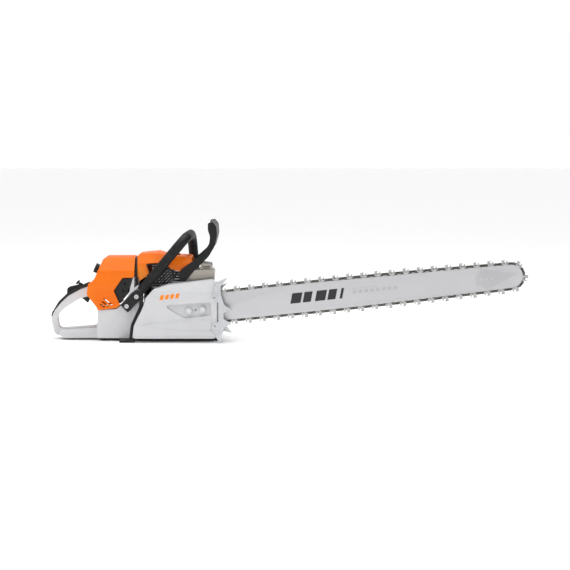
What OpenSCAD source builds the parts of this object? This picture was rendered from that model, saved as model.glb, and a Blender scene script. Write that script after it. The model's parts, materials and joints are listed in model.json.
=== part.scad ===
// Large petrol chainsaw, all sizes in millimetres.
// +X runs along the guide bar, +Y to the saw's left side, +Z up.
// The origin is on the ground, straight below the crankshaft.

/* [Bar and chain] */
// Distance from the crankshaft to the nose sprocket, along the bar
nose_u = 1010; // [960:5:1020]
// Angle of the bar above level, in degrees
bar_pitch = 6; // [5.5:0.1:6.2]
// Thickness of the bar
bar_t = 5; // [4.8:0.1:5.2]
// Half height of the bar at its nose
nose_r = 33.5; // [33:0.1:34]
// Number of drive links in the chain
drive_count = 108; // [107:1:109]

/* [Engine] */
// Radius of the cylinder bore
bore_r = 30; // [29.5:0.1:30.5]
// Radius of the crank throw, half the stroke
throw_r = 21.5; // [21:0.1:22]
// Length of the connecting rod between its two centres
rod_len = 75; // [74.5:0.1:75.5]

/* [Handles] */
// Outer radius of the front handle tube
tube_r = 14.5; // [13.5:0.1:15]
// Width of the rear handle
grip_w = 34; // [32:0.5:35]

/* [Covers] */
// Wall of the moulded covers
wall = 3; // [2.5:0.1:3.2]

/* [Hidden] */
$fn = 64;

// Crankshaft height, and the plane of the bar
crank_z = 87;
bar_y = -78;
// Faces across the saw, from its right side to its left
cover_face_y = -106;
case_y0 = -52;
case_y1 = 45;
fan_face_y = 105;
// Running clearance of a shaft in its hole
fit = 0.05;

// Piston pin at top dead centre
pin_z = crank_z + throw_r + rod_len;
case_top_z = 128;
head_z = 214;

// Chain: joint spacing follows from the length of the loop
rail_off = 3.5;
rail_start_u = 60;
rail_start_v = 38.5;
rail_bow = 5.3;
rim_r = 26.1;
nose_pitch_r = nose_r + rail_off;
entry = [rail_start_u, rail_start_v + rail_off];
entry_len = sqrt(entry * entry - rim_r * rim_r);
leave_deg = atan2(entry[1], entry[0]) + acos(rim_r / norm(entry));
rail_len = nose_u - rail_start_u;
nose_len = PI * nose_pitch_r;
wrap_len = (360 - 2 * leave_deg) * PI / 180 * rim_r;
loop_len = 2 * entry_len + 2 * rail_len + nose_len + wrap_len;
pitch = loop_len / (2 * drive_count);

// ---------------------------------------------------------------- outline functions
function unit(v) = v / norm(v);
function flat(p) = [p[0], p[1]];
function wrap(pts, i) = pts[(i + len(pts)) % len(pts)];
function twice_area(pts) = let (t = [for (i = [0:len(pts) - 1])
    pts[i][0] * wrap(pts, i + 1)[1] - wrap(pts, i + 1)[0] * pts[i][1]]) t * [for (x = t) 1];

// The arc that rounds corner b, which is [x, y, radius], between its neighbours
function corner(a, b, c, n) = let (
    p = flat(b),
    u = unit(flat(a) - p),
    v = unit(flat(c) - p),
    half = acos(max(-1, min(1, u * v))) / 2,
    m = p + unit(u + v) * b[2] / sin(half),
    s = p + u * b[2] / tan(half) - m,
    e = p + v * b[2] / tan(half) - m,
    a0 = atan2(s[1], s[0]),
    turn = (atan2(e[1], e[0]) - a0 + 540) % 360 - 180)
    b[2] == 0 ? [p] : [for (i = [0:n]) m + b[2] * [cos(a0 + turn * i / n), sin(a0 + turn * i / n)]];

// A closed outline from corner points [x, y, radius]
function rounded(pts, n = 5) = [for (i = [0:len(pts) - 1])
    each corner(wrap(pts, i - 1), pts[i], wrap(pts, i + 1), n)];

// The same corner points moved inwards by d
function inset(pts, d) = let (side = twice_area(pts) > 0 ? 1 : -1) [for (i = [0:len(pts) - 1]) let (
    p = flat(pts[i]),
    e0 = unit(p - flat(wrap(pts, i - 1))),
    e1 = unit(flat(wrap(pts, i + 1)) - p),
    n0 = side * [-e0[1], e0[0]],
    n1 = side * [-e1[1], e1[0]],
    q = p + d * (n0 + n1) / (1 + n0 * n1))
    [q[0], q[1], max(pts[i][2] - d, 0)]];

// ---------------------------------------------------------------- solid helpers
// A side-view outline, given thickness between two places across the saw
module slab(y0, y1) {
    translate([0, y1, 0]) rotate([90, 0, 0]) linear_extrude(y1 - y0) children();
}

// A front-view outline [y, z], given length along the saw
module bar_x(x0, x1) {
    translate([x0, 0, 0]) rotate([90, 0, 90]) linear_extrude(x1 - x0) children();
}

module shape(pts) {
    polygon(rounded(pts));
}

// A moulded body: its side outline cut by its front outline
module moulded(side_pts, front_pts, x0, x1, y0, y1) {
    intersection() {
        slab(y0, y1) shape(side_pts);
        bar_x(x0, x1) shape(front_pts);
    }
}

// A cylinder across the saw
module cross_cyl(x, z, r, y0, y1) {
    translate([x, y1, z]) rotate([90, 0, 0]) cylinder(h = y1 - y0, r = r);
}

module box(low, high) {
    translate(low) cube(high - low);
}

// A round bar between two points
module rod(a, b, r) {
    d = b - a;
    translate(a) rotate([0, acos(d[2] / norm(d)), atan2(d[1], d[0])]) cylinder(h = norm(d), r = r);
}

// The points of an arc of radius bend that rounds corner p between a and c
function fillet(a, p, c, bend, n) = let (
    u = unit(a - p),
    v = unit(c - p),
    half = acos(u * v) / 2,
    m = p + unit(u + v) * bend / sin(half),
    ex = unit(p + u * bend / tan(half) - m),
    ey = unit(unit(p + v * bend / tan(half) - m) - ex * (ex * unit(p + v * bend / tan(half) - m))))
    [for (i = [0:n]) let (t = (180 - 2 * half) * i / n) m + bend * (cos(t) * ex + sin(t) * ey)];

// A route through pts with its inner corners rounded
function route(pts, bend, n) = [pts[0],
    for (i = [1:len(pts) - 2]) each fillet(pts[i - 1], pts[i], pts[i + 1], bend, n),
    pts[len(pts) - 1]];

function tangent(path, i) = unit(path[min(i + 1, len(path) - 1)] - path[max(i - 1, 0)]);

// Side directions along a path, carried from ring to ring without twist
function side_dirs(path, i, before) = i == len(path) ? [] : let (
    t = tangent(path, i),
    side = unit(before - t * (before * t)))
    concat([side], side_dirs(path, i + 1, side));

// A tube swept along pts, with bends of radius bend at the inner ones
module bent_rod(pts, r, bend, sides = 20, steps = 8) {
    path = route(pts, bend, steps);
    dirs = side_dirs(path, 0, [1, 0, 0.01]);
    rings = len(path);
    points = [for (i = [0:rings - 1]) for (k = [0:sides - 1]) let (a = 360 * k / sides)
        path[i] + r * (cos(a) * dirs[i] + sin(a) * cross(tangent(path, i), dirs[i]))];
    faces = concat(
        [[for (k = [0:sides - 1]) k], [for (k = [sides - 1:-1:0]) (rings - 1) * sides + k]],
        [for (i = [0:rings - 2]) for (k = [0:sides - 1]) let (n = (k + 1) % sides)
            each [[i * sides + k, (i + 1) * sides + k, (i + 1) * sides + n],
                [i * sides + k, (i + 1) * sides + n, i * sides + n]]]);
    polyhedron(points, faces);
}

// Places children in the bar's own frame: u along the bar, v across it, thickness along Y
module bar_frame() {
    translate([0, bar_y, crank_z]) rotate([0, -bar_pitch, 0]) children();
}

// A screw head with a hexagon socket, its axis along -Y
module socket_head(r, h) {
    rotate([90, 0, 0]) difference() {
        cylinder(h = h, r = r);
        translate([0, 0, h / 2]) cylinder(h = h, r = r * 0.55, $fn = 6);
    }
}

// ---------------------------------------------------------------- crankcase
case_outline = [[-74, 10, 6], [140, 10, 10], [146, 22, 6], [146, 164, 6], [60, 164, 6], [52, case_top_z, 2],
    [-52, case_top_z, 2], [-74, 108, 6]];
tank_space = [[64, 20, 6], [138, 20, 6], [138, 156, 6], [66, 156, 6]];
web_space_r = 48;
web_space_y = 19;
bearing_y = 32;
bearing_r = 20;
shaft_hole_r = 10;

module case_hollow() {
    slab(-web_space_y, web_space_y) circle_at(0, crank_z, web_space_r);
    cross_cyl(0, crank_z, bearing_r, -bearing_y, bearing_y);
    cross_cyl(0, crank_z, shaft_hole_r, case_y0 - 1, case_y1 + 1);
    translate([0, 0, case_top_z - 8]) cylinder(h = 30, r = bore_r + 0.5);
    slab(case_y0 + 4, case_y1 - 4) shape(tank_space);
}

module circle_at(x, z, r) {
    translate([x, z]) circle(r = r);
}

stud_u = [67.5, 107];
pad_front_y = bar_y + bar_t / 2;

module crankcase_right() {
    color("#9a9a9c") difference() {
        union() {
            slab(case_y0, 0) shape(case_outline);
            bar_frame() box([44, bar_t / 2, -30], [136, 30, 30]);
            // Lug for the hand guard's right pin
            slab(-50, -45.5) shape([[42, 120, 0], [66, 120, 0], [64, 196, 8], [44, 196, 8]]);
        }
        case_hollow();
        bar_frame() for (u = stud_u) cross_cyl(u, 0, 4.9, -3, 38);
        bar_frame() cross_cyl(screw_u, 21, 4, 0, 22);
        cross_cyl(guard_x, guard_z, 5, -60, -40);
    }
}

module crankcase_left() {
    color("#8f8f92") difference() {
        slab(0, case_y1) shape(case_outline);
        case_hollow();
        cross_cyl(oil_cap_x, oil_cap_z, 14, case_y1 - 5, case_y1 + 1);
    }
}

module skid_guard() {
    color("#1c1c1e") difference() {
        slab(-58, 88) shape([[-78, 0, 3], [150, 0, 5], [152, 9.8, 1], [-80, 9.8, 0], [-81, 7.8, 0],
            [-198, 7.8, 1], [-196, 4, 2], [-90, 3, 4]]);
        for (x = [-50, 30, 90]) box([x - 18, -50, -1], [x + 18, 80, 2]);
    }
}

// ---------------------------------------------------------------- cylinder and exhaust
fin_pitch = 8;
fin_t = 2.2;
exhaust_z = 184;
intake_z = 168;
port_r = 10;
plug_base = [-14, 0, 220];
plug_tilt = -68;

module engine_cylinder() {
    color("#b9babc") difference() {
        union() {
            translate([0, 0, case_top_z]) cylinder(h = head_z + 12 - case_top_z, r = bore_r + 5);
            translate([-40, -40, case_top_z]) cube([80, 80, 7]);
            for (z = [case_top_z + 12 : fin_pitch : head_z + 16]) translate([0, 0, z])
                linear_extrude(fin_t) shape([[-47, -44, 8], [46, -44, 8], [46, 44, 8], [-47, 44, 8]]);
            translate([0, 0, head_z]) cylinder(h = 28, r = 18);
            rod([0, 0, exhaust_z], [60, 0, exhaust_z], port_r + 4);
            rod([0, 0, intake_z], [-58, 0, intake_z], port_r + 4);
            rod([0, 0, plug_base[2] - 4], plug_base + 14 * [sin(plug_tilt), 0, cos(plug_tilt)], 11);
        }
        translate([0, 0, case_top_z - 1]) cylinder(h = head_z + 1 - case_top_z, r = bore_r);
        rod([bore_r - 4, 0, exhaust_z], [61, 0, exhaust_z], port_r);
        rod([-bore_r + 4, 0, intake_z], [-60, 0, intake_z], port_r);
        plug_hole();
        translate([valve_pos[0], valve_pos[1], 200]) cylinder(h = 60, r = 3 + fit);
    }
}

// The space of the spark plug, a hair wider than the plug
module plug_hole() {
    translate(plug_base) rotate([0, plug_tilt, 0]) cylinder(h = 80, r = 7.1);
    translate(plug_base) rotate([0, plug_tilt, 0]) translate([0, 0, 10]) cylinder(h = 80, r = 11);
}

muffler_y = 42;
muffler_side = [[60, 168, 5], [137, 168, 6], [139, 207, 8], [60, 207, 5]];

module muffler() {
    color("#9a948c") difference() {
        slab(-muffler_y, muffler_y) shape(muffler_side);
        slab(2 - muffler_y, muffler_y - 2) shape(inset(muffler_side, 2));
        rod([55, 0, exhaust_z], [66, 0, exhaust_z], port_r);
        for (y = [-18, 0, 18]) rod([112, y, 190], [112, y, 210], 6);
    }
}

module muffler_deflector() {
    side = [[95, 207, 1], [131, 207, 1], [131, 224, 7], [100, 227, 6]];
    color("#8d877f") difference() {
        slab(-34, 34) shape(side);
        slab(-32, 32) shape([[97, 206, 0], [129, 206, 0], [129, 222, 5], [102, 225, 4]]);
        for (z = [211 : 5 : 221]) box([126, -28, z], [135, 28, z + 2.2]);
        for (z = [211 : 5 : 216]) box([104, -36, z], [126, -30, z + 2.2]);
    }
}

// ---------------------------------------------------------------- tank housing and rear handle
tank_y0 = -58;
tank_y1 = 58;
tank_top = 103;
loop_y0 = -grip_w / 2 - 3;
loop_y1 = grip_w / 2 - 3;
loop_outer = [[-200, 7, 2], [-308, 7, 14], [-335, 15, 16], [-345, 62, 22], [-334, 86, 24], [-314, 110, 26],
    [-291, 130, 24], [-256, 149, 26], [-231, 158, 4], [-196, 160, 2], [-196, 60, 0]];
hand_opening = [[-203, 40, 22], [-203, 101, 12], [-228, 129, 14], [-262, 120, 20], [-311, 88, 26],
    [-328, 68, 14], [-323, 31, 12]];
heel_outer = [[-204, 7, 0], [-304, 7, 8], [-317, 15, 6], [-317, 29, 3], [-204, 37, 2]];
tank_outer = [[-206, 8, 6], [-82, 8, 6], [-82, 186, 3], [-98, 186, 3], [-112, 136, 8], [-136, tank_top, 6],
    [-148, 94, 4], [-206, 90, 3]];
trigger_pivot = [-233, 141];
lockout_pivot = [-262, 141];
pivot_pin_r = 2.45;

module tank_housing() {
    color("#d6d6d8") difference() {
        union() {
            slab(tank_y0, tank_y1) shape(tank_outer);
            slab(loop_y0, loop_y1) shape(loop_outer);
            slab(-44, 30) shape(heel_outer);
        }
        slab(-60, 60) shape(hand_opening);
        // Carburettor space above the tank, open at the top
        box([-199, tank_y0 + 4, 84], [-87, tank_y1 - 4, 220]);
        // The fuel tank itself
        box([-196, tank_y0 + 6, 15], [-92, tank_y1 - 6, 76]);
        // Corners cut away beside the heat shield
        for (s = [-1, 1]) box([-95, min(32 * s, 62 * s), 152], [-80, max(32 * s, 62 * s), 190]);
        // Notch the intake boot drops into
        rod([-90, 0, intake_z], [-70, 0, intake_z], 18);
        box([-90, -18, intake_z], [-70, 18, 220]);
        cross_cyl(fuel_cap_x, fuel_cap_z, 14, tank_y1 - 8, tank_y1 + 1);
        trigger_slot();
        // Tunnel of the throttle rod
        box([-240, -7, 145], [-190, 1, 153]);
    }
    // Pins that the trigger, the lockout and the control lever turn on
    color("#d6d6d8") for (p = [trigger_pivot, lockout_pivot]) cross_cyl(p[0], p[1], pivot_pin_r, -11, 5);
    color("#d6d6d8") cross_cyl(lever_pivot[0], lever_pivot[1], 2.95, loop_y1 - 2, loop_y1 + 7.5);
}

// Slot that the trigger and the lockout sit in
module trigger_slot() {
    box([-262, -10, 112], [-222, 4, 151]);
    lockout_slot();
}

module lockout_slot() {
    slab(-10, 4) polygon([[-304, 116], [-262, 131], [-250, 136], [-250, 170], [-304, 160]]);
}

strip_outer = [[-346, 64, 2], [-341, 81, 12], [-322, 112, 26], [-296, 137, 24], [-259, 157, 26], [-232, 169, 3],
    [-231, 158, 2]];

module rear_grip() {
    color("#1e1e20") difference() {
        slab(loop_y0 - 1, loop_y1 + 1) shape(strip_outer);
        slab(loop_y0 - 2, loop_y1 + 2) shape(loop_outer);
        lockout_slot();
    }
}

module throttle_lockout() {
    color("#161617") difference() {
        slab(-8, 2) shape([[-299, 129, 3], [-298, 149, 4], [-290, 155, 5], [-262, 161, 4], [-254, 150, 4],
            [-257, 137, 4], [-267, 136, 4], [-290, 134, 3]]);
        cross_cyl(lockout_pivot[0], lockout_pivot[1], 2.5, -9, 3);
    }
}

module throttle_trigger() {
    color("#161617") difference() {
        slab(-8, 2) shape([[-256, 122, 2], [-237, 106, 2], [-230, 122, 6], [-226, 136, 3], [-228, 146, 4],
            [-238, 146, 4], [-240, 135, 4]]);
        cross_cyl(trigger_pivot[0], trigger_pivot[1], 2.5, -9, 3);
    }
}

module throttle_rod() {
    color("#a8a9ab") rod([-226, -3.5, 149], [-133, -3.5, 149], 1.3);
}

lever_pivot = [-244, 144];

module control_lever() {
    color("#222224") difference() {
        union() {
            slab(loop_y1 + 1.5, loop_y1 + 6) shape([[-250, 138, 5], [-238, 138, 5], [-238, 150, 5],
                [-264, 166, 3], [-270, 160, 3], [-250, 150, 3]]);
            slab(loop_y1 + 1.5, loop_y1 + 12) shape([[-272, 158, 2], [-263, 168, 2], [-267, 172, 2], [-276, 162, 2]]);
        }
        cross_cyl(lever_pivot[0], lever_pivot[1], 3, 0, 30);
    }
}

// ---------------------------------------------------------------- air filter side
filter_side = [[-202, 91, 3], [-148, 97, 3], [-137, 106, 3], [-155, 148, 4], [-129, 186, 4], [-95, 187, 2],
    [-93, 245, 6], [-184, 245, 16], [-215, 174, 4], [-229, 170, 8], [-234, 137, 8], [-205, 99, 4]];
filter_front = [[-62, 88, 0], [62, 88, 0], [64, 170, 10], [60, 206, 16], [40, 246, 14], [-40, 246, 14],
    [-60, 206, 16], [-64, 170, 10]];
knob_axis = [-0.918, 0, 0.395];
knob_foot = [-202, 0, 205];

module filter_cover() {
    color("#f07000") difference() {
        moulded(filter_side, filter_front, -240, -80, -70, 70);
        intersection() {
            slab(-70, 70) shape([[-199, 80, 0], [-100, 80, 0], [-90, 90, 0], [-90, 242, 4], [-181, 242, 14],
                [-210, 177, 4], [-225, 166, 6], [-229, 139, 6], [-201, 102, 2]]);
            bar_x(-240, -80) shape(inset(filter_front, wall));
        }
        // Three slanted cooling slots low on each side
        for (k = [0:2]) slab(-70, 70) polygon([[-186 - 5 * k, 124 - 8 * k], [-182.5 - 5 * k, 126 - 8 * k],
            [-158 - 11 * k, 107 - 3 * k], [-161 - 11 * k, 104 - 3 * k]]);
        translate(knob_foot) rotate([0, -66.7, 0]) translate([0, 0, -20]) cylinder(h = 40, r = 4 + fit);
        // The rear handle's tunnel into the cover
        box([-240, loop_y0 - 1.5, 80], [-196, loop_y1 + 1.5, 172]);
    }
}

module cover_knob() {
    color("#1a1a1c") translate(knob_foot) rotate([0, -66.7, 0]) difference() {
        union() {
            translate([0, 0, -8]) cylinder(h = 18, r = 4);
            translate([0, 0, 4]) cylinder(h = 11, r = 14);
        }
        for (a = [0 : 30 : 330]) rotate(a) translate([15, 0, 3]) cylinder(h = 14, r = 2.2);
    }
}

filter_z = 186;

module air_filter() {
    color("#c9c4b4") difference() {
        union() {
            rod([-186, 0, filter_z], [-134, 0, filter_z], 30);
            rod([-134, 0, filter_z], [-130, 0, filter_z], 33);
        }
        for (x = [-182 : 6 : -140]) difference() {
            rod([x, 0, filter_z], [x + 3, 0, filter_z], 34);
            rod([x, 0, filter_z], [x + 3, 0, filter_z], 27);
        }
        rod([-180, 0, filter_z], [-120, 0, filter_z], 20);
    }
}

// Dark wall between the two orange covers, with the manifold's hole
module heat_shield() {
    color("#1b1b1d") for (s = [-1, 1]) box([-91.5, min(33 * s, 57 * s), 153], [-87, max(33 * s, 57 * s), 189]);
    color("#1b1b1d") difference() {
        bar_x(-91.5, -87) shape([[-59, 187.5, 0], [59, 187.5, 0], [57, 206, 14], [38, 243, 12], [-38, 243, 12],
            [-57, 206, 14]]);
        box([-95, -20, 180], [-80, 20, 190]);
    }
}

module carburetor() {
    color("#b0b2b4") difference() {
        union() {
            box([-126, -18, 151], [-96, 20, 186]);
            rod([-130, 0, 168], [-90, 0, 168], 17);
            rod([-111, -24, 168], [-111, 26, 168], 4);
            box([-122, 20, 156], [-100, 27, 178]);
        }
        rod([-131, 0, 168], [-80, 0, 168], 10);
    }
}

module intake_boot() {
    color("#202022") difference() {
        union() {
            rod([-90, 0, 168], [-58, 0, 168], 14.5);
            for (x = [-84 : 7 : -64]) rod([x, 0, 168], [x + 3, 0, 168], 17);
        }
        rod([-91, 0, 168], [-57, 0, 168], 10);
    }
}

// One panel on each side, with two holes for a screwdriver
module adjuster_panel() {
    color("#26272a") difference() {
        for (y = [-57, 51]) slab(y, y + 6)
            shape([[-138, 110, 2], [-117, 135, 3], [-102, 183, 2], [-129, 184, 4], [-153, 148, 4]]);
        for (s = [-1, 1]) {
            cross_cyl(-122, 168, 4.5, min(53 * s, 60 * s), max(53 * s, 60 * s));
            cross_cyl(-126, 147, 4.5, min(53 * s, 60 * s), max(53 * s, 60 * s));
        }
    }
}

// ---------------------------------------------------------------- cylinder shroud
shroud_side = [[-86, 172, 3], [-86, 252, 8], [-58, 256, 20], [-25, 259, 8], [4, 249, 12], [70, 246, 5],
    [75, 230, 3], [38, 204, 4], [12, 211, 4], [-5, 229, 4], [-62, 227, 5], [-52, 200, 6], [-60, 189, 3]];
shroud_front = [[-50, 150, 0], [60, 150, 0], [60, 226, 10], [44, 262, 16], [-34, 262, 16], [-50, 226, 10]];

module cylinder_shroud() {
    color("#f07000") difference() {
        union() {
            moulded(shroud_side, shroud_front, -90, 80, -55, 65);
            moulded([[-86, 178, 3], [-86, 252, 8], [-58, 256, 20], [-25, 259, 8], [4, 249, 12], [70, 246, 5],
                [75, 230, 3], [60, 220, 3], [60, 180, 3]], shroud_front, -90, 80, 40, 65);
        }
        intersection() {
            slab(-70, 57) polygon([[-83, 100], [80, 100], [80, 228], [70, 243], [4, 246], [-25, 255.5],
                [-58, 253], [-83, 249]]);
            bar_x(-90, 90) shape(inset(shroud_front, wall));
        }
        translate([valve_pos[0], valve_pos[1], 200]) cylinder(h = 80, r = 6.5);
        rod([-95, 0, intake_z], [-70, 0, intake_z], 18.5);
        // Room for the tank housing's upright
        box([-90, -70, 150], [-81.6, 70, 186.4]);
    }
}

module shroud_grille() {
    side = [[-66, 165, 2], [8, 165, 2], [36, 200, 2], [14, 208, 2], [-4, 226, 2], [-61, 224, 3], [-52, 200, 4],
        [-62, 186, 2]];
    color("#1b1b1d") {
        intersection() {
            slab(-49, -46) shape(side);
            for (k = [-8:12]) translate([10 * k, 0, 160]) rotate([0, 45, 0]) translate([-2.4, -60, -60])
                cube([4.8, 20, 200]);
        }
        slab(-49.5, -46) difference() {
            shape(side);
            shape(inset(side, 3.5));
        }
    }
}

valve_pos = [30, 14];

module decompression_valve() {
    color("#202022") translate([valve_pos[0], valve_pos[1], 0]) {
        translate([0, 0, 243.5]) cylinder(h = 8, r = 6);
        translate([0, 0, 230]) cylinder(h = 14, r = 3);
    }
}

module spark_plug() {
    color("#e4e2dc") translate(plug_base) rotate([0, plug_tilt, 0]) {
        cylinder(h = 10, r = 7);
        translate([0, 0, 10]) cylinder(h = 8, r = 10, $fn = 6);
        translate([0, 0, 18]) cylinder(h = 24, r = 5.5);
        translate([0, 0, 42]) cylinder(h = 6, r = 3);
    }
}

module plug_boot() {
    color("#1a1a1c") translate(plug_base) rotate([0, plug_tilt, 0]) difference() {
        translate([0, 0, 26]) cylinder(h = 28, r = 9);
        translate([0, 0, 20]) cylinder(h = 22, r = 5.5);
        translate([0, 0, 40]) cylinder(h = 8, r = 3);
    }
}

// ---------------------------------------------------------------- fan side and starter
fan_side = [[-76, 12, 14], [98, 12, 14], [98, 120, 20], [80, 176, 20], [-60, 176, 26], [-76, 150, 20]];
fan_front = [[40, 8, 0], [92, 8, 18], [fan_face_y, 40, 24], [fan_face_y, 140, 24], [92, 178, 16], [40, 178, 0]];
guard_x = 52;
guard_z = 188;
rope_y = 85;
rope_x = -27.4;
rope_r = 2.2;

module fan_housing() {
    color("#f0f0f0") difference() {
        union() {
            difference() {
                moulded(fan_side, fan_front, -80, 100, case_y1, 110);
                intersection() {
                    slab(40, 110) shape(inset(fan_side, wall));
                    bar_x(-80, 100) shape([[30, 12, 0], [90, 12, 16], [fan_face_y - wall, 41, 22],
                        [fan_face_y - wall, 139, 22], [90, 174, 14], [30, 174, 0]]);
                }
                // Louvres round the starter
                for (a = [0 : 22.5 : 340]) translate([0, 95, crank_z]) rotate([0, a, 0])
                    box([40, 0, -3], [62, 20, 3]);
            }
            // Lug for the hand guard's left pin
            slab(90, 96) shape([[40, 160, 0], [66, 160, 0], [62, 196, 8], [44, 196, 8]]);
            // Boss that the front handle's left end is screwed to
            box([76, 90, 24], [96, 107.4, 52]);
            // Post that the starter pulley turns on
            cross_cyl(0, crank_z, 6, 76, 104);
        }
        translate([rope_x, rope_y, 100]) cylinder(h = 100, r = 4);
        cross_cyl(guard_x, guard_z, 5, 80, 100);
    }
}

module flywheel() {
    color("#a7a9ab") difference() {
        union() {
            cross_cyl(0, crank_z, 54, 50, 56);
            cross_cyl(0, crank_z, 16, 50, 70);
            for (a = [0 : 24 : 359]) translate([0, 0, crank_z]) rotate([0, a, 0])
                box([24, 55, -1.2], [53, 70, 1.2]);
            translate([0, 50, crank_z]) box([-14, 6, 20], [14, 12, 44]);
        }
        cross_cyl(0, crank_z, 6.5, 49, 71);
    }
}

module ignition_coil() {
    color("#26262a") difference() {
        union() {
            box([-68, 50, 116], [-47, 66, 142]);
            box([-64, case_y1, 122], [-52, 52, 136]);
        }
        cross_cyl(-58, 129, 2.5, 44, 70);
    }
}

module starter_pulley() {
    color("#3a3a3d") difference() {
        union() {
            cross_cyl(0, crank_z, 34, rope_y - 5, rope_y - 3);
            cross_cyl(0, crank_z, 20, rope_y - 5, rope_y + 5);
            cross_cyl(0, crank_z, 34, rope_y + 3, rope_y + 5);
            // Lugs that catch the flywheel's pawls
            for (a = [0 : 60 : 300]) translate([0, 0, crank_z]) rotate([0, a, 0]) box([9, 73, -2], [15, 81, 2]);
        }
        cross_cyl(0, crank_z, 6 + fit, 70, 100);
    }
}

module rope_winding() {
    color("#e8e2d0") translate([0, rope_y, crank_z]) rotate([90, 0, 0])
        rotate_extrude() translate([22.4, 0]) circle(r = rope_r);
}

spring_turns = 5;

// The spring is one flat spiral band
module rewind_spring() {
    steps = 24 * spring_turns;
    function on_spiral(i, r0) = (r0 + 20 * i / steps) * [cos(15 * i), sin(15 * i)];
    color("#5b6168") translate([0, 0, crank_z]) slab(92, 100) polygon(concat(
        [for (i = [0:steps]) on_spiral(i, 8.8)], [for (i = [steps:-1:0]) on_spiral(i, 8)]));
}

grip_z = 179;

module starter_rope() {
    color("#e8e2d0") rod([rope_x, rope_y, crank_z], [rope_x, rope_y, grip_z + 4], rope_r);
}

module starter_grip() {
    color("#1c1c1e") translate([rope_x, rope_y, grip_z]) difference() {
        union() {
            rod([-34, 0, 12], [34, 0, 12], 9);
            translate([-34, 0, 12]) sphere(r = 9);
            translate([34, 0, 12]) sphere(r = 9);
            cylinder(h = 10, r = 7);
        }
        translate([0, 0, -1]) cylinder(h = 5, r = rope_r);
    }
}

// ---------------------------------------------------------------- crank train
web_r = 35;
pin_y = 7;

module crankshaft() {
    color("#c3c5c8") {
        for (s = [-1, 1]) cross_cyl(0, crank_z, web_r, min(7.6 * s, 18 * s), max(7.6 * s, 18 * s));
        cross_cyl(0, crank_z, 8.5, -bearing_y, -18);
        cross_cyl(0, crank_z, 8.5, 18, bearing_y);
        cross_cyl(0, crank_z, 7, -88, -bearing_y);
        cross_cyl(0, crank_z, 6.5, bearing_y, 72);
    }
    color("#c3c5c8") {
        cross_cyl(0, crank_z, 11, 70.2, 72);
        cross_cyl(0, crank_z, 11, -88.6, -87);
    }
}

module main_bearings() {
    color("#d4d6d9") for (y = [-bearing_y, bearing_y - 12]) difference() {
        cross_cyl(0, crank_z, bearing_r, y, y + 12);
        cross_cyl(0, crank_z, 8.5 + fit, y - 1, y + 13);
    }
}

module connecting_rod() {
    low = crank_z + throw_r;
    color("#b9bbbe") difference() {
        union() {
            cross_cyl(0, low, 13, -6, 6);
            cross_cyl(0, pin_z, 9.5, -6, 6);
            slab(-4, 4) polygon([[-9, low + 8], [9, low + 8], [6, pin_z - 6], [-6, pin_z - 6]]);
            cross_cyl(0, low, 8, -pin_y, pin_y);
        }
        cross_cyl(0, pin_z, 7 + fit, -10, 10);
    }
}

module piston() {
    color("#cfd1d4") difference() {
        union() {
            translate([0, 0, pin_z - 17]) cylinder(h = 45, r = bore_r - fit);
        }
        for (z = [19, 23]) translate([0, 0, pin_z + z]) difference() {
            cylinder(h = 1.6, r = bore_r + 1);
            cylinder(h = 1.6, r = bore_r - 1.5);
        }
        translate([0, 0, pin_z - 18]) cylinder(h = 40, r = bore_r - 4);
    }
    // Bosses and the pin itself
    color("#cfd1d4") difference() {
        for (s = [-1, 1]) cross_cyl(0, pin_z, 11, min(7 * s, 27 * s), max(7 * s, 27 * s));
        cross_cyl(0, pin_z, 7, -28, 28);
    }
    color("#cfd1d4") cross_cyl(0, pin_z, 7, -25.9, 25.9);
}

// ---------------------------------------------------------------- guide bar
// Half height of the bar at u
function rail_v(u) = let (t = (u - rail_start_u) / rail_len)
    rail_start_v + (nose_r - rail_start_v) * t + 4 * rail_bow * t * (1 - t);

rail_steps = 24;
nose_steps = 24;
tail_u = 37;

// Outline of the whole bar, moved inwards by d
function bar_outline(d) = concat(
    [[tail_u + d, -17], [rail_start_u + d, d - rail_start_v]],
    [for (i = [1:rail_steps - 1]) let (u = rail_start_u + rail_len * i / rail_steps) [u, d - rail_v(u)]],
    [for (i = [0:nose_steps]) let (a = -90 + 180 * i / nose_steps)
        [nose_u + (nose_r - d) * cos(a), (nose_r - d) * sin(a)]],
    [for (i = [rail_steps - 1:-1:1]) let (u = rail_start_u + rail_len * i / rail_steps) [u, rail_v(u) - d]],
    [[rail_start_u + d, rail_start_v - d], [tail_u + d, 17]]);

groove_depth = 7;
groove_w = 1.7;
joint_u = nose_u - 64;
joint_r = 40;

// Where the nose piece begins: a round tongue that reaches back into the bar
module nose_zone(extra) {
    circle_at(joint_u, 0, joint_r + extra);
    translate([joint_u - extra, -60]) square([200, 120]);
}

module guide_bar() {
    color("#cfd0d2") bar_frame() difference() {
        union() {
            for (s = [-1, 1]) slab(min(s * groove_w / 2, s * bar_t / 2), max(s * groove_w / 2, s * bar_t / 2))
                polygon(bar_outline(0));
            slab(-groove_w / 2, groove_w / 2) polygon(bar_outline(groove_depth));
        }
        slab(-bar_t, bar_t) nose_zone(0.3);
        // Slot for the studs, and the two tensioner holes
        slab(-bar_t, bar_t) union() {
            translate([stud_u[0] - 9, -5.1]) square([stud_u[1] - stud_u[0] + 18, 10.2]);
            for (s = [-1, 1]) circle_at(screw_u, s * 21, 4);
        }
    }
}

rivet_u = [for (k = [0:2]) joint_u - 24 + 16 * k];

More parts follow.
